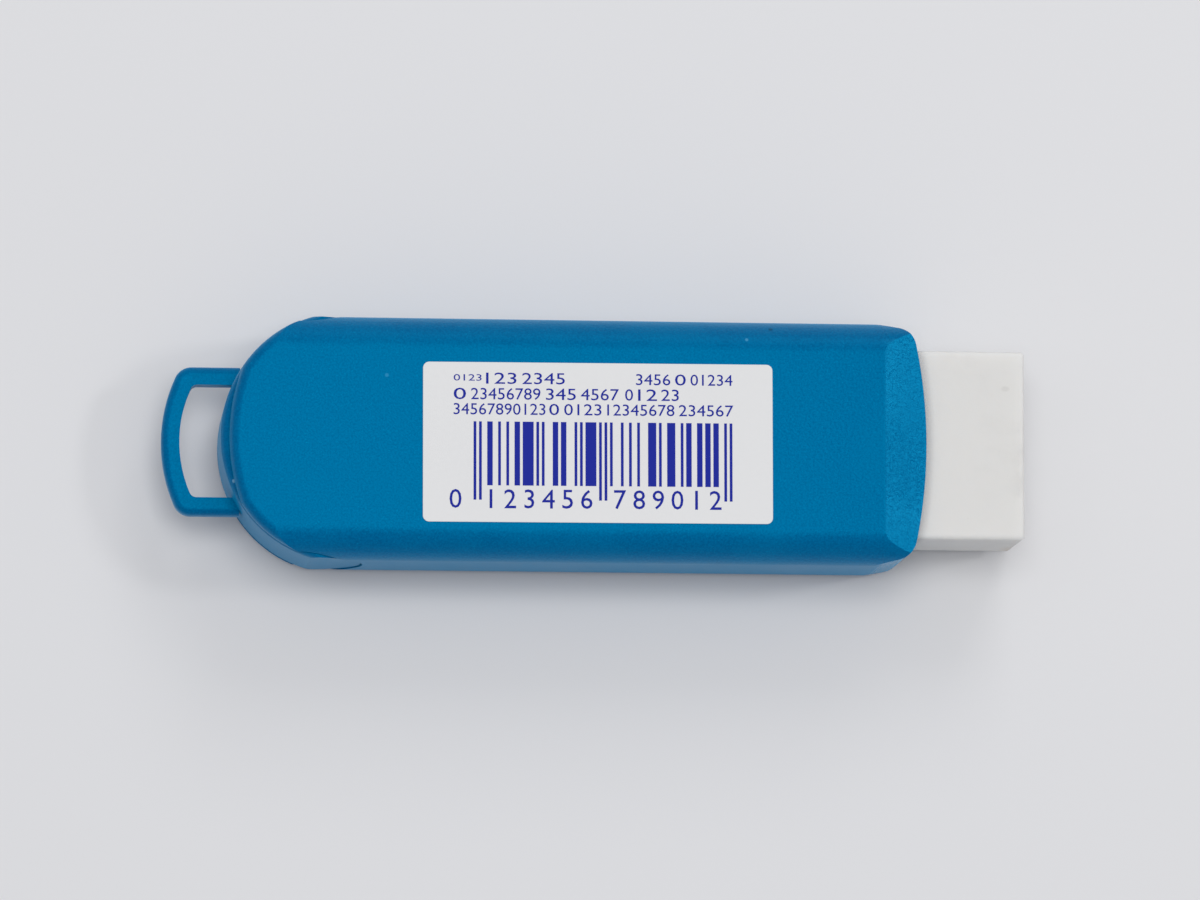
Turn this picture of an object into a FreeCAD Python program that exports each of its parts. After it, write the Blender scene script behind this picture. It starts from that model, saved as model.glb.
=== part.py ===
"""Pocket eraser: a rubber block in a sliding plastic sleeve, pushed out and drawn in by a slider with a key-ring loop.

Millimetres. The origin is the middle of the bounding box on the resting face, +X points to the rubber, +Z to the label.
"""
import FreeCAD, Part
import math
import os
import Sketcher

doc = FreeCAD.newDocument("PocketEraser")
sheet = doc.addObject("Spreadsheet::Sheet", "Sizes")

# Driving dimensions: alias, value, what it is
DIMENSIONS = [
    ("overall_length", 83.68, "loop tip to rubber tip"),
    ("loop_reach", 5.61, "loop tip to the slider's rear end"),
    ("rubber_showing", 9.7, "rubber standing out of the mouth"),
    ("side_wall", 1.27, "sleeve side wall"),
    ("roof_wall", 1.3, "sleeve roof and floor"),
    ("roof_space", 0.7, "hollow above and below the rubber"),
    ("corner_radius", 1.9, "long inner corners of the hollow"),
    ("tongue_setback", 0.81, "tongue tip behind which the slider shows"),
    ("tongue_flare", 0.33, "plan radius of the tongue's sides over the half width"),
    ("tongue_tip_radius", 18.5, "plan radius of the tongue's flatter tip"),
    ("tongue_edge_radius", 1.0, "rounding of the tongue's upper edge"),
    ("slot_lead", 1.8, "middle of the rear round to the bottom of the slot"),
    ("bevel_length", 4.2, "crease to mouth"),
    ("bevel_drop", 1.25, "how far the bevel falls"),
    ("taper_length", 5.0, "side taper before the mouth"),
    ("taper_depth", 0.79, "how far each side comes in at the mouth"),
    ("mouth_radius", 46.0, "plan radius of the mouth's front edge"),
    ("mouth_corner", 2.2, "corner at each end of the mouth's edge"),
    ("collar_length", 3.6, "narrow mouth before the hollow widens"),
    ("mouth_clearance", 0.15, "rubber to mouth, each side"),
    ("rubber_width", 18.4, "block width"),
    ("rubber_height", 11.0, "block height"),
    ("rubber_length", 50.0, "block length"),
    ("rubber_edge", 0.6, "rounding of the block"),
    ("slider_gap", 0.2, "slider to tongues and slot"),
    ("cheek_inset", 0.12, "cheeks below the sleeve's side walls"),
    ("slider_flare", 0.38, "plan radius of the slider's rear over the half width"),
    ("slider_wall", 1.5, "rear wall and cheeks"),
    ("slider_edge", 0.9, "rounding of the slider's rear edges"),
    ("web_thickness", 1.6, "flat web of the slider"),
    ("rib_thickness", 1.2, "ribs of the slider"),
    ("rib_height", 8.4, "ribs and arms of the slider"),
    ("rib_setback", 1.6, "cross rib behind the middle of the rear round"),
    ("arm_thickness", 0.95, "arms beside the rubber"),
    ("arm_clearance", 0.2, "arm to rubber and to side wall"),
    ("arm_reach", 26.0, "arm ahead of the rubber's back"),
    ("backstop_thickness", 1.4, "wall behind the rubber"),
    ("backstop_gap", 0.05, "wall to rubber"),
    ("tooth_height", 0.14, "grip teeth on the arms"),
    ("tooth_length", 0.5, "grip teeth, along the arm"),
    ("tooth_pitch", 1.8, "grip teeth, spacing"),
    ("lug_length", 3.0, "stop lug on each arm"),
    ("lug_rise", 0.5, "how far a lug stands out"),
    ("lug_height", 3.0, "stop lug, upright"),
    ("lug_clearance", 0.2, "lug to groove"),
    ("slide_travel", 10.2, "slider stroke"),
    ("loop_width", 14.5, "across the loop's arms"),
    ("loop_arm", 1.76, "width of the loop's arms and bar"),
    ("loop_radius", 15.3, "plan radius of the loop's outer edge"),
    ("loop_inner_radius", 12.8, "plan radius of the bar's inner edge"),
    ("loop_corner", 1.75, "outer corners of the loop"),
    ("loop_inner_corner", 0.7, "inner corners of the loop"),
    ("loop_thickness", 2.2, "loop, upright"),
    ("loop_edge", 0.7, "rounding of the loop's outer edge"),
    ("loop_root", 2.0, "loop's hold in the rear wall"),
    ("label_length", 33.85, "label"),
    ("label_width", 15.5, "label"),
    ("label_corner", 0.6, "label corners"),
    ("label_thickness", 0.1, "label"),
    ("label_setback", 10.93, "label's front edge behind the crease"),
    ("label_shift", 0.48, "label off the centre line"),
    ("label_turn", 0.23, "label turned, degrees"),
]


class Size:
    """A number together with the sheet formula that gives it."""

    def __init__(self, value, formula):
        self.value = value
        self.formula = formula

    def __add__(self, other):
        other = as_size(other)
        return Size(self.value + other.value, f"({self.formula} + {other.formula})")

    def __sub__(self, other):
        other = as_size(other)
        return Size(self.value - other.value, f"({self.formula} - {other.formula})")

    def __mul__(self, other):
        other = as_size(other)
        return Size(self.value * other.value, f"({self.formula} * {other.formula})")

    def __truediv__(self, other):
        other = as_size(other)
        return Size(self.value / other.value, f"({self.formula} / {other.formula})")

    def __neg__(self):
        return self * -1


def as_size(number):
    return number if isinstance(number, Size) else Size(number, str(number))


def root(size):
    """Square root."""
    return Size(math.sqrt(size.value), f"sqrt({size.formula})")


def leg(radius, other_leg):
    """The other leg of a right triangle whose long side is radius."""
    return root(radius * radius - other_leg * other_leg)


def bow(radius, half_chord):
    """How far an arc stands proud of its chord."""
    return radius - leg(radius, half_chord)


def fill_sheet():
    """Write the driving dimensions and return them by name."""
    sizes = {}
    for row, (alias, value, note) in enumerate(DIMENSIONS, start=1):
        sheet.set(f"A{row}", note)
        sheet.set(f"B{row}", str(value))
        sheet.setAlias(f"B{row}", alias)
        sizes[alias] = Size(value, f"Sizes.{alias}")
    doc.recompute()
    return sizes


S = fill_sheet()

# Places along X, measured from the middle of the whole length
RUBBER_TIP = S["overall_length"] / 2
RUBBER_BACK = RUBBER_TIP - S["rubber_length"]
MOUTH = RUBBER_TIP - S["rubber_showing"]
CREASE = MOUTH - S["bevel_length"]
COLLAR = MOUTH - S["collar_length"]
LOOP_TIP = -S["overall_length"] / 2
SLIDER_END = LOOP_TIP + S["loop_reach"]
TONGUE_TIP = SLIDER_END + S["tongue_setback"]
BACKSTOP = RUBBER_BACK - S["backstop_gap"]
ARM_TIP = RUBBER_BACK + S["arm_reach"]

# Places across and upright, built outwards from the rubber
ARM_INSIDE = S["rubber_width"] / 2 + S["arm_clearance"]
ARM_OUTSIDE = ARM_INSIDE + S["arm_thickness"]
INNER_SIDE = ARM_OUTSIDE + S["arm_clearance"]
HALF_WIDTH = INNER_SIDE + S["side_wall"]
CHEEK_SIDE = HALF_WIDTH - S["cheek_inset"]
HOLLOW_HALF = S["rubber_height"] / 2 + S["roof_space"]
MID_HEIGHT = HOLLOW_HALF + S["roof_wall"]
SLEEVE_TOP = MID_HEIGHT * 2
SLIDER_HALF = HOLLOW_HALF - S["slider_gap"]
SHOULDER_RADIUS = S["corner_radius"] + S["roof_wall"]
SLIDER_ROUND = HALF_WIDTH + S["slider_flare"]
TONGUE_ROUND = HALF_WIDTH + S["tongue_flare"]
REAR_ROUND = SLIDER_END + SLIDER_ROUND
SLOT_END = REAR_ROUND + S["slot_lead"]
ZERO = as_size(0)


def origin_plane(body, role):
    for feature in body.Origin.OriginFeatures:
        if feature.Role == role:
            return feature


def arc_between(start, end, radius):
    """The arc that bulges to the right of the way from start to end."""
    middle = (start + end) / 2
    half = (end - start).Length / 2
    along = (end - start).normalize()
    left = FreeCAD.Vector(-along.y, along.x, 0)
    centre = middle + left * math.sqrt(max(radius * radius - half * half, 0.0))
    first = math.atan2(start.y - centre.y, start.x - centre.x)
    last = math.atan2(end.y - centre.y, end.x - centre.x)
    circle = Part.Circle(centre, FreeCAD.Vector(0, 0, 1), radius)
    return Part.ArcOfCircle(circle, first, last)


def bind(sketch, kind, places, size):
    """Add one measured constraint that follows the sheet."""
    index = sketch.addConstraint(Sketcher.Constraint(kind, *places, size.value))
    sketch.setExpression(f"Constraints[{index}]", size.formula)


def outline(body, name, role, corners, lift=ZERO):
    """A closed outline, anticlockwise. A third entry in a corner bends the edge that leaves it to that radius."""
    sketch = body.newObject("Sketcher::SketchObject", name)
    sketch.AttachmentSupport = (origin_plane(body, role), [""])
    sketch.MapMode = "FlatFace"
    sketch.setExpression("AttachmentOffset.Base.z", lift.formula)
    points = [FreeCAD.Vector(corner[0].value, corner[1].value, 0) for corner in corners]
    count = len(corners)
    for i, corner in enumerate(corners):
        start, end = points[i], points[(i + 1) % count]
        if len(corner) == 3:
            sketch.addGeometry(arc_between(start, end, corner[2].value), False)
        else:
            sketch.addGeometry(Part.LineSegment(start, end), False)
    for i, corner in enumerate(corners):
        sketch.addConstraint(Sketcher.Constraint("Coincident", i, 2, (i + 1) % count, 1))
        bind(sketch, "DistanceX", (-1, 1, i, 1), corner[0])
        bind(sketch, "DistanceY", (-1, 1, i, 1), corner[1])
        if len(corner) == 3:
            bind(sketch, "Radius", (i,), corner[2])
    return sketch


def oblong(half_across, half_up, middle_up=ZERO):
    """Corners of a rectangle centred across."""
    low = middle_up - half_up
    high = middle_up + half_up
    return [(-half_across, low), (half_across, low), (half_across, high), (-half_across, high)]


def new_body(name):
    body = doc.addObject("PartDesign::Body", name)
    body.Label = name
    return body


def pad(body, sketch, length, both_ways=False):
    feature = body.newObject("PartDesign::Pad", f"{sketch.Name}_pad")
    feature.Profile = sketch
    feature.SideType = "Symmetric" if both_ways else "One side"
    feature.setExpression("Length", length.formula)
    doc.recompute()
    return feature


def pocket(body, sketch):
    """Cut right through, both ways."""
    feature = body.newObject("PartDesign::Pocket", f"{sketch.Name}_pocket")
    feature.Profile = sketch
    feature.SideType = "Symmetric"
    feature.Type = "ThroughAll"
    doc.recompute()
    return feature


def rounded(body, name, radius, wanted):
    """Fillet the edges of the body's tip that answer to wanted."""
    tip = body.Tip
    edges = [f"Edge{i}" for i, edge in enumerate(tip.Shape.Edges, start=1) if wanted(edge)]
    feature = body.newObject("PartDesign::Fillet", name)
    feature.Base = (tip, edges)
    feature.setExpression("Radius", radius.formula)
    doc.recompute()
    return feature


def runs_along(axis):
    """Straight edges parallel to an axis."""
    return lambda edge: edge.Curve.TypeId == "Part::GeomLine" and abs(edge.Curve.Direction.dot(axis)) > 0.999


def lies_flat(edge):
    """Edges that stay at one height."""
    return edge.BoundBox.ZLength < 1e-6


X_AXIS = FreeCAD.Vector(1, 0, 0)
Z_AXIS = FreeCAD.Vector(0, 0, 1)


def block(name, x_range, y_range, z_range):
    """A plain box between two places on each axis."""
    box = doc.addObject("Part::Box", name)
    for side, axis, (low, high) in zip(("Length", "Width", "Height"), "xyz", (x_range, y_range, z_range)):
        box.setExpression(side, (high - low).formula)
        box.setExpression(f"Placement.Base.{axis}", low.formula)
    return box


def joined(name, pieces):
    result = doc.addObject("Part::MultiFuse", name)
    result.Shapes = pieces
    return result


def shared(name, pieces):
    result = doc.addObject("Part::MultiCommon", name)
    result.Shapes = pieces
    return result


def without(name, base, tool):
    result = doc.addObject("Part::Cut", name)
    result.Base = base
    result.Tool = tool
    return result


def both_sides(low, high):
    """The same stretch across on the left and on the right."""
    return (("left", (low, high)), ("right", (-high, -low)))


def about_middle(height):
    """An upright stretch of this height about mid-height."""
    return (MID_HEIGHT - height / 2, MID_HEIGHT + height / 2)


def bar_along_x(name, half_across, half_up, corner, start, end):
    """A bar along X with its four long edges rounded."""
    body = new_body(name)
    sketch = outline(body, f"{name}_outline", "YZ_Plane", oblong(half_across, half_up, MID_HEIGHT), start)
    pad(body, sketch, end - start)
    rounded(body, f"{name}_corners", corner, runs_along(X_AXIS))
    return body


def sleeve_plan():
    """The sleeve seen from above: tongue end, tapered sides, curved mouth."""
    body = new_body("sleeve_plan")
    tip_radius = S["tongue_tip_radius"]
    tip_centre = TONGUE_TIP + tip_radius
    apart = tip_centre - REAR_ROUND
    reach = (tip_radius * tip_radius - TONGUE_ROUND * TONGUE_ROUND + apart * apart) / (apart * 2)
    chord = leg(tip_radius, reach)
    mouth_half = HALF_WIDTH - S["taper_depth"]
    front = MOUTH - bow(S["mouth_radius"], mouth_half)
    sketch = outline(body, "sleeve_plan_outline", "XY_Plane", [
        (tip_centre - reach, chord, tip_radius),
        (tip_centre - reach, -chord, TONGUE_ROUND),
        (REAR_ROUND, -TONGUE_ROUND),
        (MOUTH - S["taper_length"], -HALF_WIDTH),
        (front, -mouth_half, S["mouth_radius"]),
        (front, mouth_half),
        (MOUTH - S["taper_length"], HALF_WIDTH),
        (REAR_ROUND, TONGUE_ROUND, TONGUE_ROUND),
    ])
    pad(body, sketch, SLEEVE_TOP)
    rounded(body, "mouth_corners", S["mouth_corner"],
            lambda edge: runs_along(Z_AXIS)(edge) and abs(edge.BoundBox.XMin - front.value) < 0.01)
    rounded(body, "tongue_edges", S["tongue_edge_radius"],
            lambda edge: lies_flat(edge) and edge.BoundBox.XMax < REAR_ROUND.value + 0.01)
    return body


def sleeve_profile():
    """The sleeve seen from the side: level faces, then the bevels above and below the mouth."""
    body = new_body("sleeve_profile")
    top = SLEEVE_TOP
    sketch = outline(body, "sleeve_profile_outline", "XZ_Plane", [
        (SLIDER_END, ZERO),
        (CREASE, ZERO),
        (MOUTH, S["bevel_drop"]),
        (MOUTH, top - S["bevel_drop"]),
        (CREASE, top),
        (SLIDER_END, top),
    ])
    pad(body, sketch, HALF_WIDTH * 2.4, both_ways=True)
    return body


def slot_outline(name, gap):
    """The slot between the tongues with its round end, and with a gap the slider's cheeks in it."""
    body = new_body(name)
    half = HOLLOW_HALF - gap
    centre = SLOT_END - HOLLOW_HALF
    rear = SLIDER_END - 1
    sketch = outline(body, f"{name}_outline", "XZ_Plane", [
        (rear, MID_HEIGHT - half),
        (centre, MID_HEIGHT - half, half),
        (centre + half, MID_HEIGHT, half),
        (centre, MID_HEIGHT + half),
        (rear, MID_HEIGHT + half),
    ])
    pad(body, sketch, HALF_WIDTH * 2.4, both_ways=True)
    return body


def lug_grooves():
    """Blind grooves in the side walls; their ends stop the slider."""
    grooves = []
    deep = ARM_OUTSIDE + S["lug_rise"] + S["lug_clearance"]
    front = ARM_TIP + S["lug_clearance"]
    rear = ARM_TIP - S["lug_length"] - S["slide_travel"] - S["lug_clearance"]
    upright = about_middle(S["lug_height"] + S["lug_clearance"] * 2)
    for side, across in both_sides(INNER_SIDE - 0.5, deep):
        grooves.append(block(f"groove_{side}", (rear, front), across, upright))
    return grooves


def make_sleeve():
    """One moulded sleeve: roof and floor with tongues, side walls, narrow bevelled mouth."""
    section = bar_along_x("sleeve_section", HALF_WIDTH, MID_HEIGHT, SHOULDER_RADIUS, SLIDER_END, MOUTH + 1)
    outside = shared("sleeve_outside", [section, sleeve_plan(), sleeve_profile()])
    hollow = bar_along_x("sleeve_hollow", INNER_SIDE, HOLLOW_HALF, S["corner_radius"], SLIDER_END - 1, COLLAR)
    across = S["rubber_width"] / 2 + S["mouth_clearance"]
    opening = block("mouth_opening", (COLLAR - 1, MOUTH + 1), (-across, across),
                    about_middle(S["rubber_height"] + S["mouth_clearance"] * 2))
    inside = joined("sleeve_inside", [hollow, opening, slot_outline("side_slot", ZERO)] + lug_grooves())
    return without("sleeve", outside, inside)


def rear_outline(body, name, inset, front, lift=ZERO):
    """The slider seen from above, drawn in all round by inset: a round end cut off by the flat cheeks."""
    radius = SLIDER_ROUND - inset
    side = CHEEK_SIDE - inset
    kink = REAR_ROUND - leg(radius, side)
    tip = REAR_ROUND - radius
    return outline(body, name, "XY_Plane", [
        (kink, side, radius),
        (tip, ZERO, radius),
        (kink, -side),
        (front, -side),
        (front, side),
    ], lift)


def slider_shell():
    """The slider's rear: a round end wall and two cheeks, open above and below a flat web."""
    body = new_body("slider_plan")
    pad(body, rear_outline(body, "slider_plan_outline", ZERO, SLOT_END, MID_HEIGHT - SLIDER_HALF), SLIDER_HALF * 2)
    rounded(body, "slider_rear_edges", S["slider_edge"],
            lambda edge: lies_flat(edge) and edge.BoundBox.XMax < SLOT_END.value - 0.01)
    solid = shared("slider_solid", [body, slot_outline("cheek_profile", S["slider_gap"])])
    inner = new_body("slider_inside")
    pad(inner, rear_outline(inner, "slider_inside_outline", S["slider_wall"], SLOT_END + 1), SLEEVE_TOP)
    return without("slider_shell", solid, inner)


def slider_frame():
    """Web, ribs, backstop, arms with grip teeth and stop lugs."""
    reach = S["slider_wall"] / 2
    rear = SLIDER_END + reach
    cheek_inside = CHEEK_SIDE - reach
    cross = REAR_ROUND - S["rib_setback"]
    web = about_middle(S["web_thickness"])
    tall = about_middle(S["rib_height"])
    rib = S["rib_thickness"] / 2
    middle = (-rib, rib)
    pieces = [
        block("web_front", (cross, BACKSTOP), (-ARM_INSIDE, ARM_INSIDE), web),
        block("rib_long", (rear, BACKSTOP), middle, tall),
        block("rib_cross", (cross - rib, cross + rib), (-cheek_inside, cheek_inside), tall),
        block("backstop", (BACKSTOP - S["backstop_thickness"], BACKSTOP), (-ARM_INSIDE, ARM_INSIDE),
              about_middle(S["rubber_height"])),
    ]
    for side, across in both_sides(ARM_INSIDE, ARM_OUTSIDE):
        pieces.append(block(f"arm_{side}", (cross - rib, ARM_TIP), across, tall))
    for side, across in both_sides(ARM_OUTSIDE - S["arm_thickness"] / 2, ARM_OUTSIDE + S["lug_rise"]):
        pieces.append(block(f"lug_{side}", (ARM_TIP - S["lug_length"], ARM_TIP), across, about_middle(S["lug_height"])))
    for side, across in both_sides(ARM_INSIDE - S["tooth_height"], ARM_INSIDE + S["arm_thickness"] / 2):
        for i in range(3):
            start = ARM_TIP - S["tooth_length"] - S["tooth_pitch"] * i
            pieces.append(block(f"tooth_{side}_{i + 1}", (start, start + S["tooth_length"]), across, tall))
    return pieces


def web_in_shell():
    """The flat web inside the round end."""
    body = new_body("web_plan")
    lift = MID_HEIGHT - S["web_thickness"] / 2
    pad(body, rear_outline(body, "web_plan_outline", S["slider_wall"] / 2, REAR_ROUND - S["rib_setback"], lift),
        S["web_thickness"])
    return body


def loop_bar():
    """The key-ring loop at mid-height: two arms and a bowed bar."""
    body = new_body("loop")
    half = S["loop_width"] / 2
    inner_half = half - S["loop_arm"]
    root_end = SLIDER_END + S["loop_root"]
    inner_tip = LOOP_TIP + S["loop_arm"]
    outer_x = LOOP_TIP + bow(S["loop_radius"], half)
    inner_x = inner_tip + bow(S["loop_inner_radius"], inner_half)
    under = MID_HEIGHT - S["loop_thickness"] / 2
    sketch = outline(body, "loop_outline", "XY_Plane", [
        (outer_x, half, S["loop_radius"]),
        (LOOP_TIP, ZERO, S["loop_radius"]),
        (outer_x, -half),
        (root_end, -half),
        (root_end, half),
    ], under)
    pad(body, sketch, S["loop_thickness"])
    rounded(body, "loop_corners", S["loop_corner"],
            lambda edge: runs_along(Z_AXIS)(edge) and abs(edge.BoundBox.XMin - outer_x.value) < 0.01)
    rounded(body, "loop_outer_edges", S["loop_edge"],
            lambda edge: lies_flat(edge) and edge.BoundBox.XMin < root_end.value - 0.1)
    sketch = outline(body, "loop_hole", "XY_Plane", [
        (inner_x, inner_half, S["loop_inner_radius"]),
        (inner_tip, ZERO, S["loop_inner_radius"]),
        (inner_x, -inner_half),
        (root_end + 1, -inner_half),
        (root_end + 1, inner_half),
    ])
    pocket(body, sketch)
    rounded(body, "loop_hole_corners", S["loop_inner_corner"],
            lambda edge: runs_along(Z_AXIS)(edge) and abs(edge.BoundBox.XMin - inner_x.value) < 0.01)
    return body


def make_slider():
    """One moulded slider that carries the rubber."""
    return joined("slider", [slider_shell(), web_in_shell(), loop_bar()] + slider_frame())


def make_eraser():
    """The rubber block, its edges softly rounded."""
    body = new_body("eraser")
    across = S["rubber_width"] / 2
    up = S["rubber_height"] / 2
    sketch = outline(body, "eraser_outline", "YZ_Plane", oblong(across, up, MID_HEIGHT), RUBBER_BACK)
    pad(body, sketch, S["rubber_length"])
    rounded(body, "eraser_edges", S["rubber_edge"], lambda edge: True)
    return body


def make_label():
    """The stuck-on label, a little off centre and a little turned."""
    body = new_body("label")
    across = S["label_length"] / 2
    up = S["label_width"] / 2
    sketch = outline(body, "label_outline", "XY_Plane", oblong(across, up))
    pad(body, sketch, S["label_thickness"])
    rounded(body, "label_corners", S["label_corner"], runs_along(Z_AXIS))
    body.setExpression("Placement.Base.x", (CREASE - S["label_setback"] - S["label_length"] / 2).formula)
    body.setExpression("Placement.Base.y", (-S["label_shift"]).formula)
    body.setExpression("Placement.Base.z", SLEEVE_TOP.formula)
    body.setExpression("Placement.Rotation.Angle", S["label_turn"].formula)
    return body


def export_all(pieces):
    """Recompute, check every object and write one file for each sub-part."""
    doc.recompute()
    for item in doc.Objects:
        if "Invalid" in item.State or "Error" in item.State:
            raise RuntimeError(f"{item.Label} failed: {item.State}")
    os.makedirs("parts", exist_ok=True)
    for piece in pieces:
        shape = piece.Shape
        if shape.isNull() or not shape.isValid() or len(shape.Solids) != 1:
            raise RuntimeError(f"{piece.Label} isn't one valid solid")
        shape.exportStep(f"parts/{piece.Label}.step")
        box = shape.BoundBox
        print(piece.Label, f"volume {shape.Volume:.1f}", f"x {box.XMin:.2f} {box.XMax:.2f}",
              f"y {box.YMin:.2f} {box.YMax:.2f}", f"z {box.ZMin:.2f} {box.ZMax:.2f}")


export_all([make_sleeve(), make_slider(), make_eraser(), make_label()])
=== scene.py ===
"""Pocket eraser lying label up on a pale table: blue sleeve, slider with loop, white rubber, stuck-on label."""
import math

import bmesh
import bpy
import numpy as np
from mathutils import Matrix, Vector


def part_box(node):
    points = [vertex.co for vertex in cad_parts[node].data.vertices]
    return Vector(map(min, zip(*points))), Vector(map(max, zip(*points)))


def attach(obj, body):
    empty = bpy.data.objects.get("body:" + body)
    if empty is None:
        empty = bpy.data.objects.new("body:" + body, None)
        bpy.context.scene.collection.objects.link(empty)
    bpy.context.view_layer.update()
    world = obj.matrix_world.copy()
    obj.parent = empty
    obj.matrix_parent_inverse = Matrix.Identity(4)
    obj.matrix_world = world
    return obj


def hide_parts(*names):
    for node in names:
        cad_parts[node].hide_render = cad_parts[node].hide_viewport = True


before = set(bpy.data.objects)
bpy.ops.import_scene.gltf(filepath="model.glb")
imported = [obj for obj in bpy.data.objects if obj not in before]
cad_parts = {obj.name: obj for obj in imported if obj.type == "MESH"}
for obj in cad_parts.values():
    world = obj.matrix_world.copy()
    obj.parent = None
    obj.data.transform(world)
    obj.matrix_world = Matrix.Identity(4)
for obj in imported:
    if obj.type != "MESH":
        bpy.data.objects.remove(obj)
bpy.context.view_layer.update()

MM = 0.001

# Viewpoint: almost straight down, from about 0.7 m, a little towards the loop and the near side.
# The lens is long, so the sleeve's near wall shows only as a narrow band.
camera_data = bpy.data.cameras.new("table_camera")
camera_data.sensor_width = 36.0
camera_data.lens = 221.1
camera_data.clip_start = 0.05
camera_data.clip_end = 20.0
camera = bpy.data.objects.new("table_camera", camera_data)
bpy.context.scene.collection.objects.link(camera)
CAMERA_PLACE = (-0.0586, -0.0838, 0.7183)
CAMERA_BACKWARD = (-0.0837, -0.1175, 1.0)
CAMERA_ROLL = -0.0028
sight = Vector(CAMERA_BACKWARD).normalized()
upward = Vector((math.sin(CAMERA_ROLL), math.cos(CAMERA_ROLL), 0.0))
rightward = upward.cross(sight).normalized()
upward = sight.cross(rightward)
turn = Matrix((rightward, upward, sight)).transposed()
camera.matrix_world = Matrix.Translation(CAMERA_PLACE) @ turn.to_4x4()
bpy.context.scene.camera = camera


# Lighting: a pale room with one wall close by, a wide soft lamp overhead and a window beyond the far side.
# The shadow is soft and lies mostly on the near side; a small lamp beyond the rubber lights the bevel.
ROOM_TONE = (0.93, 0.95, 1.0, 1.0)
ROOM_STRENGTH = 0.40
WARM_WHITE = (1.0, 0.99, 0.975)
room = bpy.data.worlds.new("soft_room")
room.use_nodes = True
room_light = room.node_tree.nodes["Background"]
room_light.inputs["Color"].default_value = ROOM_TONE
room_light.inputs["Strength"].default_value = ROOM_STRENGTH
bpy.context.scene.world = room


def wide_lamp(name, place, size, watts):
    """A square area lamp that faces the object; place and size in metres."""
    data = bpy.data.lights.new(name, "AREA")
    data.shape = "SQUARE"
    data.size = size
    data.energy = watts
    data.color = WARM_WHITE
    lamp = bpy.data.objects.new(name, data)
    lamp.location = place
    lamp.rotation_euler = (Vector(place) * -1).to_track_quat("-Z", "Y").to_euler()
    bpy.context.scene.collection.objects.link(lamp)


wide_lamp("ceiling_light", place=(-0.02, 0.05, 0.95), size=0.4, watts=3.7)
wide_lamp("window_side", place=(0.20, 0.70, 0.60), size=0.4, watts=1.5)
wide_lamp("pale_wall", place=(-0.50, 0.10, 0.70), size=0.5, watts=0.30)
wide_lamp("desk_lamp", place=(0.576, 0.094, 0.658), size=0.10, watts=0.8)
bpy.context.scene.view_settings.view_transform = "Standard"


# Table: a plain matt laminate sheet, pale and very slightly cool, wide enough to fill every view.
# It is the stage, not part of the object.
TABLE_PALE = (0.735, 0.737, 0.752)
TABLE_PALER = (0.70, 0.70, 0.72)
TABLE_HALF = 3.0
TABLE_DROP = 0.02 * MM
SHEET_POINTS = 9


class Wire:
    """One value in a finish. The operators put Math nodes between wires."""

    def __init__(self, finish, socket):
        self.finish = finish
        self.socket = socket

    def math(self, operation, first, second=None):
        sockets = {0: first} if second is None else {0: first, 1: second}
        return self.finish.node("ShaderNodeMath", {"operation": operation}, sockets)

    def __add__(self, other):
        return self.math("ADD", self, other)

    def __radd__(self, other):
        return self.math("ADD", other, self)

    def __sub__(self, other):
        return self.math("SUBTRACT", self, other)

    def __rsub__(self, other):
        return self.math("SUBTRACT", other, self)

    def __mul__(self, other):
        return self.math("MULTIPLY", self, other)

    def __rmul__(self, other):
        return self.math("MULTIPLY", other, self)

    def __pow__(self, other):
        return self.math("POWER", self, other)


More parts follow.
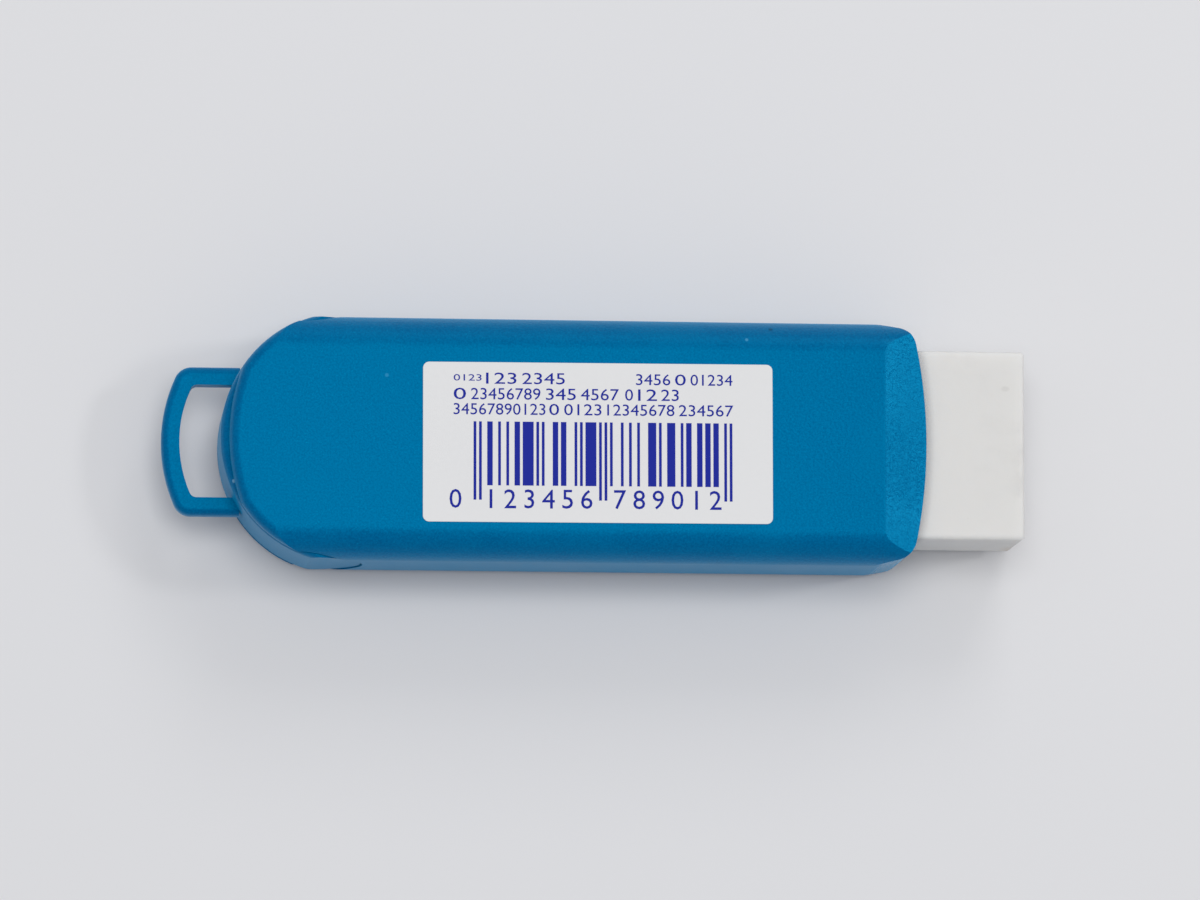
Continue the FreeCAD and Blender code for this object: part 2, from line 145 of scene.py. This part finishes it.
class Finish:
    """One material. Its node method adds any node that an operator doesn't."""

    def __init__(self, name):
        self.material = bpy.data.materials.new(name)
        self.material.use_nodes = True
        self.tree = self.material.node_tree
        self.shader = self.tree.nodes["Principled BSDF"]
        self.place = self.node("ShaderNodeTexCoord", {}, {}, "Object")
        apart = self.node("ShaderNodeSeparateXYZ", {}, {0: self.place}).socket.node
        self.x, self.y, self.z = (Wire(self, apart.outputs[i]) for i in range(3))

    def put(self, socket, value):
        if isinstance(value, Wire):
            self.tree.links.new(value.socket, socket)
        elif isinstance(value, (tuple, list)) and len(value) == 3 and socket.type == "RGBA":
            socket.default_value = (*value, 1.0)
        else:
            socket.default_value = value

    def node(self, kind, settings, sockets, output=0):
        made = self.tree.nodes.new(kind)
        for name, value in settings.items():
            setattr(made, name, value)
        for key, value in sockets.items():
            self.put(made.inputs[key], value)
        return Wire(self, made.outputs[output])

    def noise(self, size_mm, detail=2.0, roughness=0.5):
        """Noise whose blotches are about size_mm across, 0 to 1 about 0.5."""
        scaled = self.node("ShaderNodeMapping", {}, {0: self.place, 3: (1 / (size_mm * MM),) * 3})
        sockets = {"Vector": scaled, "Scale": 1.0, "Detail": detail, "Roughness": roughness}
        return self.node("ShaderNodeTexNoise", {}, sockets)

    def step(self, value, low, high):
        """0 below low, 1 above high, smooth between; low may be the higher one."""
        settings = {"interpolation_type": "SMOOTHSTEP"}
        if low <= high:
            return self.node("ShaderNodeMapRange", settings, {0: value, 1: low, 2: high})
        return 1 - self.node("ShaderNodeMapRange", settings, {0: value, 1: high, 2: low})

    def mix(self, factor, first, second):
        """Second colour over first by factor."""
        return self.node("ShaderNodeMix", {"data_type": "RGBA"}, {0: factor, 6: first, 7: second}, 2)

    def spot(self, centre_mm, radius_mm, squeeze=(1, 1, 1)):
        """1 inside a small round mark, 0 outside, soft at its rim."""
        centre = tuple(c * MM for c in centre_mm)
        moved = self.node("ShaderNodeVectorMath", {"operation": "SUBTRACT"}, {0: self.place, 1: centre})
        shaped = self.node("ShaderNodeVectorMath", {"operation": "MULTIPLY"}, {0: moved, 1: squeeze})
        distance = self.node("ShaderNodeVectorMath", {"operation": "LENGTH"}, {0: shaped}, "Value")
        return self.step(distance, radius_mm * MM, radius_mm * 0.4 * MM)

    def bump(self, height, depth_mm, strength):
        sockets = {"Strength": strength, "Distance": depth_mm * MM, "Height": height}
        return self.node("ShaderNodeBump", {}, sockets)

    def set(self, **values):
        for name, value in values.items():
            self.put(self.shader.inputs[name.replace("_", " ")], value)


def flat_sheet(name, half, drop, count):
    """A square of half-size half, a little below height 0: x and y run over a grid of count by count points."""
    along = np.linspace(-half, half, count)
    u, v = np.meshgrid(along, along, indexing="ij")
    points = np.stack([u, v, np.full_like(u, -drop)], axis=-1).reshape(-1, 3)
    step = np.arange(count - 1)
    first = (step[:, None] * count + step[None, :]).ravel()
    quads = np.stack([first, first + count, first + count + 1, first + 1], axis=1)
    mesh = bpy.data.meshes.new(name)
    mesh.from_pydata(points.tolist(), [], quads.tolist())
    sheet = bpy.data.objects.new(name, mesh)
    bpy.context.scene.collection.objects.link(sheet)
    return sheet


table = flat_sheet("table", TABLE_HALF, TABLE_DROP, SHEET_POINTS)
laminate = Finish("pale_laminate")
laminate.set(Base_Color=laminate.mix(laminate.noise(60.0, 3.0) * 0.05, TABLE_PALE, TABLE_PALER))
laminate.set(Roughness=0.75, Specular_IOR_Level=0.15)
table.data.materials.append(laminate.material)


# Sleeve and slider: both injection moulded from blue polypropylene in spark-eroded tools, which leaves a fine grain.
# The sleeve is one flat tube with a bevelled mouth; the slider runs in it and ends in the key-ring loop.
SLEEVE_BLUE = (0.0, 0.114, 0.292)
SLEEVE_DEEP = (0.0, 0.070, 0.205)
SLEEVE_PALE_AND_GLINT = (0.0, 0.185, 0.390)
BEVEL_START = 27.94 * MM
BEVEL_BLEND = 0.2 * MM
RUBBED_GLINT_FAR = (3.0 * MM, 0.5 * MM)
RUBBED_GLINT_NEAR = (-7.5 * MM, -4.5 * MM)
SLEEVE_GRAIN_MM = 0.026
SLIDER_GRAIN_MM = 0.020


def moulded_blue(name, depth_mm):
    """Pits and ridges about 0.3 mm across that catch the lamps, fine speckle in the colour, and cloudier tone.
    Pale speckle in the colour is partly the grain's own tone and partly painted glints. The bevel at the mouth is
    rubbed smoother; in its middle the ridges stand out and the painted glints are laid stronger."""
    finish = Finish(name)
    ridges = finish.noise(0.34, 1.0, 0.5)
    speckle = finish.step(finish.noise(0.19, 1.0, 0.5), 0.38, 0.66)
    light_speckle_and_painted_glint = finish.step(finish.noise(0.17, 1.0, 0.5), 0.60, 0.78)
    cloud = finish.step(finish.noise(9.0, 3.0, 0.55), 0.3, 0.7)
    polish = finish.step(finish.x, BEVEL_START - BEVEL_BLEND, BEVEL_START + BEVEL_BLEND)
    # worn: a rubbed patch in the middle of the bevel, where the ridges stand out more and the painted glints are laid
    # stronger.
    worn = polish * finish.step(finish.y, *RUBBED_GLINT_FAR) * finish.step(finish.y, *RUBBED_GLINT_NEAR)
    tone = finish.mix(speckle * 0.60, SLEEVE_BLUE, SLEEVE_DEEP)
    # Pale speckle painted into the colour: partly the grain's own tone, partly painted glints, stronger in the worn
    # patch on the bevel.
    tone = finish.mix(light_speckle_and_painted_glint * (0.55 + 0.35 * worn), tone, SLEEVE_PALE_AND_GLINT)
    tone = finish.mix(cloud * 0.20, tone, SLEEVE_PALE_AND_GLINT)
    finish.set(Base_Color=tone)
    finish.set(Roughness=0.36 + 0.05 * cloud - 0.14 * polish)
    finish.set(Normal=finish.bump(ridges * (1 + 0.5 * worn), depth_mm, 1.0))
    finish.set(Specular_IOR_Level=0.38, Specular_Tint=(0.0, 0.60, 1.0, 1.0))
    finish.set(Sheen_Weight=0.35, Sheen_Roughness=0.55, Sheen_Tint=(0.0, 0.55, 1.0, 1.0))
    return finish


sleeve_finish = moulded_blue("sleeve_blue", SLEEVE_GRAIN_MM)
slider_finish = moulded_blue("slider_blue", SLIDER_GRAIN_MM)


def mark(finish, centre_mm, radius_mm, amount, colour):
    """Lay one small mark over the tone a finish already has."""
    tone = Wire(finish, finish.shader.inputs["Base Color"].links[0].from_socket)
    finish.set(Base_Color=finish.mix(finish.spot(centre_mm, radius_mm) * amount, tone, colour))


DARK_NICK = (0.0, 0.03, 0.09)
PALE_NICK = (0.10, 0.34, 0.55)
FAINT_SPECK = (0.06, 0.30, 0.52)
PAINTED_HIGHLIGHT_SPOT = (0.35, 0.60, 0.75)
mark(sleeve_finish, centre_mm=(16.9, 10.9, 14.0), radius_mm=0.30, amount=0.8, colour=DARK_NICK)
mark(sleeve_finish, centre_mm=(14.5, 9.8, 14.8), radius_mm=0.22, amount=0.5, colour=PALE_NICK)
mark(sleeve_finish, centre_mm=(-20.35, 5.85, 15.0), radius_mm=0.25, amount=0.4, colour=FAINT_SPECK)
# Painted highlight: a small bright spot on the slider's rim where the tongue meets it.
mark(slider_finish, centre_mm=(-34.9, -4.4, 13.3), radius_mm=0.26, amount=0.5, colour=PAINTED_HIGHLIGHT_SPOT)


def dress(node, finish):
    """Give a CAD node the finish."""
    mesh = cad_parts[node].data
    mesh.materials.clear()
    mesh.materials.append(finish.material)


dress("sleeve", sleeve_finish)
dress("slider", slider_finish)


# Rubber: a cast white vinyl block, smooth and slightly dull, its edges softened.
# The lower edge of the working end is rubbed round at the near corner, and a grey band of painted shade lies on the
# rubber along the mouth, where the sleeve's lip shades it.
RUBBER_WHITE = (0.70, 0.695, 0.68)
RUBBER_GREY = (0.52, 0.51, 0.50)
RUBBER_BROWN = (0.47, 0.40, 0.33)
SMUDGE_GREY = (0.42, 0.40, 0.38)
RUBBER_EDGE = 0.4 * MM
RUBBER_WORN = 1.2 * MM
WORN_FROM = 3 * MM
LONG_COUNT = 100
SHORT_COUNT = 36
MOUTH_TIP = 32.14 * MM
MOUTH_RADIUS = 46.0 * MM
rubber_low, rubber_high = (np.array(corner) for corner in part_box("eraser"))


def side_grid(count_u, count_v):
    """Parameters of one face, closer together near its rims: t runs 0 to 1 and bunches as half of 1 - cos."""
    u = (1 - np.cos(np.linspace(0, math.pi, count_u))) / 2
    v = (1 - np.cos(np.linspace(0, math.pi, count_v))) / 2
    return np.meshgrid(u, v, indexing="ij")


def rounded_block(name, low, high, radius, wear):
    """A block with rounded edges: each point of the box is pulled in to the inner box that is smaller by the
    radius, and pushed out again by the radius along the way back. Then wear moves the points."""
    points, quads, start = [], [], 0
    for axis in range(3):
        for side in (0, 1):
            others = [(axis + 1) % 3, (axis + 2) % 3]
            counts = [LONG_COUNT if other == 0 else SHORT_COUNT for other in others]
            u, v = side_grid(*counts)
            face = np.empty(u.shape + (3,))
            face[..., axis] = high[axis] if side else low[axis]
            face[..., others[0]] = low[others[0]] + u * (high - low)[others[0]]
            face[..., others[1]] = low[others[1]] + v * (high - low)[others[1]]
            points.append(face.reshape(-1, 3))
            nu, nv = u.shape
            first = (start + np.arange(nu - 1)[:, None] * nv + np.arange(nv - 1)[None, :]).ravel()
            ring = [first, first + nv, first + nv + 1, first + 1]
            quads.append(np.stack(ring if side else [ring[i] for i in (0, 3, 2, 1)], axis=1))
            start += nu * nv
    points = np.concatenate(points)
    inner = np.clip(points, low + radius, high - radius)
    away = points - inner
    length = np.linalg.norm(away, axis=1, keepdims=True)
    points = wear(inner + away / np.maximum(length, 1e-9) * np.minimum(length, radius))
    mesh = bpy.data.meshes.new(name)
    mesh.from_pydata(points.tolist(), [], np.concatenate(quads).tolist())
    joined = bmesh.new()
    joined.from_mesh(mesh)
    bmesh.ops.remove_doubles(joined, verts=joined.verts, dist=1e-6)
    joined.to_mesh(mesh)
    joined.free()
    mesh.polygons.foreach_set("use_smooth", np.ones(len(mesh.polygons), bool))
    block = bpy.data.objects.new(name, mesh)
    bpy.context.scene.collection.objects.link(block)
    return block


def rubbed_edge(points):
    """Rounds the lower edge of the working end: outside the circle of radius r that touches both faces,
    a point slides back onto it; r grows from the cast radius to the worn one towards the near side."""
    near = np.clip((WORN_FROM - points[:, 1]) / (WORN_FROM - rubber_low[1]), 0, 1)
    r = RUBBER_EDGE + (RUBBER_WORN - RUBBER_EDGE) * near
    out = points[:, 0] - (rubber_high[0] - r)
    down = (rubber_low[2] + r) - points[:, 2]
    far = np.hypot(out, down)
    pull = np.where((out > 0) & (down > 0) & (far > r), r / np.maximum(far, 1e-9), 1.0)
    points[:, 0] += out * (pull - 1)
    points[:, 2] -= down * (pull - 1)
    return points


rubber = rounded_block("rubber_block", rubber_low, rubber_high, RUBBER_EDGE, rubbed_edge)
vinyl = Finish("white_vinyl")
haze = vinyl.step(vinyl.noise(3.5, 4.0, 0.6), 0.45, 0.8)
near_tip = vinyl.step(vinyl.x, rubber_high[0] - 1.6 * MM, rubber_high[0] - 0.2 * MM)
# Painted shade: a grey band on the rubber along the mouth's arc, where the sleeve's lip shades it.
from_arc = ((vinyl.x - (MOUTH_TIP - MOUTH_RADIUS)) ** 2 + vinyl.y ** 2) ** 0.5 - MOUTH_RADIUS
outside = vinyl.step(from_arc, 1.1 * MM, 0.2 * MM)
inside = vinyl.step(from_arc, -2.2 * MM, -0.6 * MM)
painted_mouth_shade = outside * inside
worn_foot = near_tip * vinyl.step(vinyl.y, -4 * MM, -8.5 * MM) * vinyl.step(vinyl.z, 8 * MM, 3.5 * MM)
fleck = vinyl.step(vinyl.noise(0.35, 1.0, 0.5), 0.74, 0.80)
smudge = vinyl.spot((39.95, 5.55, 13.0), 0.55, (1.0, 1.6, 1.0))
vinyl_tone = vinyl.mix(haze * 0.12, RUBBER_WHITE, RUBBER_GREY)
vinyl_tone = vinyl.mix(near_tip * haze * 0.35, vinyl_tone, RUBBER_GREY)
vinyl_tone = vinyl.mix(fleck * 0.15, vinyl_tone, RUBBER_GREY)
vinyl_tone = vinyl.mix(smudge * 0.22, vinyl_tone, SMUDGE_GREY)
vinyl_tone = vinyl.mix(painted_mouth_shade * 0.75, vinyl_tone, RUBBER_GREY)
vinyl_tone = vinyl.mix(worn_foot * 0.55, vinyl_tone, RUBBER_BROWN)
vinyl.set(Base_Color=vinyl_tone, Roughness=0.52 + 0.12 * haze)
vinyl.set(Normal=vinyl.bump(vinyl.noise(0.5, 3.0, 0.6), 0.015, 0.5))
vinyl.set(Specular_IOR_Level=0.4, Subsurface_Weight=0.6)
vinyl.set(Subsurface_Radius=(1.0, 0.93, 0.85), Subsurface_Scale=0.0025)
rubber.data.materials.append(vinyl.material)
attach(rubber, "eraser")
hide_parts("eraser")


# Label: a die-cut white film with round corners, stuck on by hand a little low and a little turned.
# It lies on the sleeve's flat face and rides with it; the film's upper rim is drawn in a little.
LABEL_CENTRE = (0.085 * MM, -0.48 * MM)
LABEL_TURN = math.radians(0.23)
LABEL_HALF = (33.85 / 2 * MM, 15.5 / 2 * MM)
LABEL_CORNER = 0.6 * MM
LABEL_BASE = 15.0 * MM
LABEL_TOP = 15.08 * MM
LABEL_SOFT = 0.03 * MM
LABEL_WHITE = (0.70, 0.703, 0.71)
LABEL_DULL = (0.67, 0.675, 0.69)


def on_label(flat):
    """Turn and move points of the label's own plane to their place on the sleeve."""
    c, s = math.cos(LABEL_TURN), math.sin(LABEL_TURN)
    x = LABEL_CENTRE[0] + c * flat[..., 0] - s * flat[..., 1]
    y = LABEL_CENTRE[1] + s * flat[..., 0] + c * flat[..., 1]
    return np.stack([x, y], axis=-1)


def rounded_outline(half_x, half_y, radius, per_corner=8):
    """A rectangle with quarter circles at its corners, anticlockwise."""
    angle = np.linspace(0, math.pi / 2, per_corner)
    rings = []
    for k, (sx, sy) in enumerate(((1, 1), (-1, 1), (-1, -1), (1, -1))):
        a = angle + k * math.pi / 2
        x = sx * (half_x - radius) + radius * np.cos(a)
        y = sy * (half_y - radius) + radius * np.sin(a)
        rings.append(np.stack([x, y], axis=1))
    return np.concatenate(rings)


def prisms(name, outlines, bottom, top, soft=0.0):
    """Upright prisms on closed outlines: each outline is carried up through its levels, then capped;
    soft draws the top ring in, which rounds the rim."""
    points, faces, start = [], [], 0
    for flat in outlines:
        count = len(flat)
        middle = flat.mean(axis=0)
        span = np.abs(flat - middle).max()
        levels = [(bottom, 1.0), (top, 1.0)]
        if soft:
            levels = [(bottom, 1.0), (top - soft, 1.0), (top, 1.0 - soft / span)]
        for height, shrink in levels:
            ring = on_label(middle + (flat - middle) * shrink)
            points.append(np.concatenate([ring, np.full((count, 1), height)], axis=1))
        around = np.arange(count)
        for level in range(len(levels) - 1):
            a = start + level * count + around
            b = start + level * count + (around + 1) % count
            faces.extend(np.stack([a, b, b + count, a + count], axis=1).tolist())
        faces.append((start + around[::-1]).tolist())
        faces.append((start + (len(levels) - 1) * count + around).tolist())
        start += len(levels) * count
    mesh = bpy.data.meshes.new(name)
    mesh.from_pydata(np.concatenate(points).tolist(), [], faces)
    piece = bpy.data.objects.new(name, mesh)
    bpy.context.scene.collection.objects.link(piece)
    return piece


label_outline = rounded_outline(*LABEL_HALF, LABEL_CORNER)
label_film = prisms("label_film", [label_outline], LABEL_BASE, LABEL_TOP, LABEL_SOFT)
film = Finish("white_film")
fibre = film.noise(0.5, 3.0, 0.6)
faded = film.step(film.noise(12.0, 2.0), 0.3, 0.8)
film.set(Base_Color=film.mix(faded * 0.25, LABEL_WHITE, LABEL_DULL), Roughness=0.42 + 0.1 * fibre)
film.set(Normal=film.bump(fibre, 0.006, 0.4), Specular_IOR_Level=0.4)
label_film.data.materials.append(film.material)
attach(label_film, "sleeve")
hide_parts("label")


# Bar pattern: one blue ink laid on the film as upright bars, some of them longer at the foot.
# It encodes only the counting digits 0123456789012; each bar has its ink's little thickness.
INK_BLUE = (0.012, 0.022, 0.30)
INK_PALE = (0.03, 0.05, 0.38)
PRINT_FOOT = LABEL_TOP - 0.02 * MM
PRINT_TOP = 15.095 * MM
BARS_START = -12.04 * MM
MODULE = 25.04 / 95 * MM
BARS_TOP = 1.99 * MM
BARS_FOOT = -4.2 * MM
GUARD_FOOT = -5.6 * MM

ink = Finish("blue_ink")
worn_ink = ink.step(ink.noise(0.25, 2.0, 0.6), 0.5, 0.85)
ink.set(Base_Color=ink.mix(worn_ink * 0.12, INK_BLUE, INK_PALE), Roughness=0.62 + 0.1 * worn_ink)
ink.set(Specular_IOR_Level=0.08)


def bar_widths(digits):
    """Thirteen digits as the usual 95 dark and light modules: guard, six left digits, middle guard, six right
    digits, guard."""
    odd = "0001101 0011001 0010011 0111101 0100011 0110001 0101111 0111011 0110111 0001011".split()
    parity = "000000 001011 001101 001110 010011 011001 011100 010101 010110 011010".split()
    right = ["".join("10"[int(c)] for c in code) for code in odd]
    even = [code[::-1] for code in right]
    left = "".join((odd, even)[int(p)][int(d)] for p, d in zip(parity[int(digits[0])], digits[1:7]))
    return "101" + left + "01010" + "".join(right[int(d)] for d in digits[7:]) + "101"


modules = bar_widths("0123456789012")
bars = []
position = 0
while position < len(modules):
    run = 1
    while position + run < len(modules) and modules[position + run] == modules[position]:
        run += 1
    if modules[position] == "1":
        guard = position < 3 or position > 91 or 45 <= position < 50
        x0 = BARS_START + position * MODULE
        x1 = x0 + run * MODULE
        foot = GUARD_FOOT if guard else BARS_FOOT
        bars.append(np.array([(x0, foot), (x1, foot), (x1, BARS_TOP), (x0, BARS_TOP)]))
    position += run
label_bars = prisms("label_bars", bars, PRINT_FOOT, PRINT_TOP)
label_bars.data.materials.append(ink.material)
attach(label_bars, "sleeve")


# Rows of digits: three rows of small counting digits above the bars, laid on the film in the same ink.
# Each word is set to its own place, length and height on the label, in millimetres.
COUNTING = "0123456789" * 2


def printed_digits(name, words):
    """Digits as flat letters with a little thickness. A word is its text, start, length, foot and height in
    millimetres; without a length it keeps its own width and is centred on its start."""
    parts = bmesh.new()
    for text, start, length, foot, height in words:
        curve = bpy.data.curves.new(name, "FONT")
        curve.body = text
        curve.size = 1.0
        curve.resolution_u = 3
        letters = bpy.data.objects.new(name, curve)
        bpy.context.scene.collection.objects.link(letters)
        bpy.context.view_layer.update()
        mesh = bpy.data.meshes.new_from_object(letters)
        bpy.data.objects.remove(letters)
        flat = np.empty(len(mesh.vertices) * 3)
        mesh.vertices.foreach_get("co", flat)
        flat = flat.reshape(-1, 3)
        low, high = flat.min(axis=0), flat.max(axis=0)
        tall = height / (high[1] - low[1])
        wide = length / (high[0] - low[0]) if length else tall
        left = start if length else start - wide * (high[0] - low[0]) / 2
        x = left + (flat[:, 0] - low[0]) * wide
        y = foot + (flat[:, 1] - low[1]) * tall
        placed = on_label(np.stack([x, y], axis=1) * MM)
        raised = np.full((len(placed), 1), PRINT_TOP)
        mesh.vertices.foreach_set("co", np.concatenate([placed, raised], axis=1).ravel())
        parts.from_mesh(mesh)
        bpy.data.meshes.remove(mesh)
    bmesh.ops.remove_doubles(parts, verts=parts.verts, dist=1e-8)
    bmesh.ops.recalc_face_normals(parts, faces=parts.faces)
    if sum(face.normal.z for face in parts.faces) < 0:
        bmesh.ops.reverse_faces(parts, faces=parts.faces)
    sunk = bmesh.ops.extrude_face_region(parts, geom=parts.faces[:])
    for item in sunk["geom"]:
        if isinstance(item, bmesh.types.BMVert):
            item.co.z = PRINT_FOOT
    bmesh.ops.recalc_face_normals(parts, faces=parts.faces)
    mesh = bpy.data.meshes.new(name)
    parts.to_mesh(mesh)
    parts.free()
    piece = bpy.data.objects.new(name, mesh)
    bpy.context.scene.collection.objects.link(piece)
    return piece


# A row is its foot, height, the pitch of a digit, and the start and end of each word.
ROWS = (
    (5.93, 0.63, 0.62, ((-13.97, -11.27),)),
    (5.64, 1.10, 0.98, ((-10.84, -7.90), (-7.35, -3.22))),
    (5.64, 1.08, 0.86, ((3.67, 7.00), (7.45, 8.50), (8.95, 13.03))),
    (4.12, 1.12, 0.86, ((-13.97, -12.77), (-12.29, -5.58), (-5.05, -2.16), (-1.68, 2.01),
                        (2.61, 3.38), (3.87, 5.70), (6.11, 7.82))),
    (2.65, 1.10, 0.84, ((-13.97, -5.10), (-4.74, -3.78), (-3.29, 0.32), (0.88, 7.39), (7.82, 13.10))),
)
words = []
for foot, height, pitch, places in ROWS:
    for left, right in places:
        count = max(1, round((right - left) / pitch))
        digits = "0" if count == 1 else COUNTING[len(words) % 5:][:count]
        words.append((digits, left, right - left, foot, height))
label_rows = printed_digits("label_rows", words)
label_rows.data.materials.append(ink.material)
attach(label_rows, "sleeve")


# Digits under the bars: the thirteen that the bars encode, one by one at an even pitch, in the same ink.
# The first stands to the left of the bars, the others in two sixes between the longer bars.
DIGIT_FOOT = -6.41
DIGIT_HEIGHT = 1.83
DIGIT_PITCH = 1.85
feet = [("0", -13.78, 0, DIGIT_FOOT, DIGIT_HEIGHT)]
for six, first in (("123456", -10.36), ("789012", 2.11)):
    feet += [(digit, first + DIGIT_PITCH * i, 0, DIGIT_FOOT, DIGIT_HEIGHT) for i, digit in enumerate(six)]
label_digits = printed_digits("label_digits", feet)
label_digits.data.materials.append(ink.material)
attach(label_digits, "sleeve")
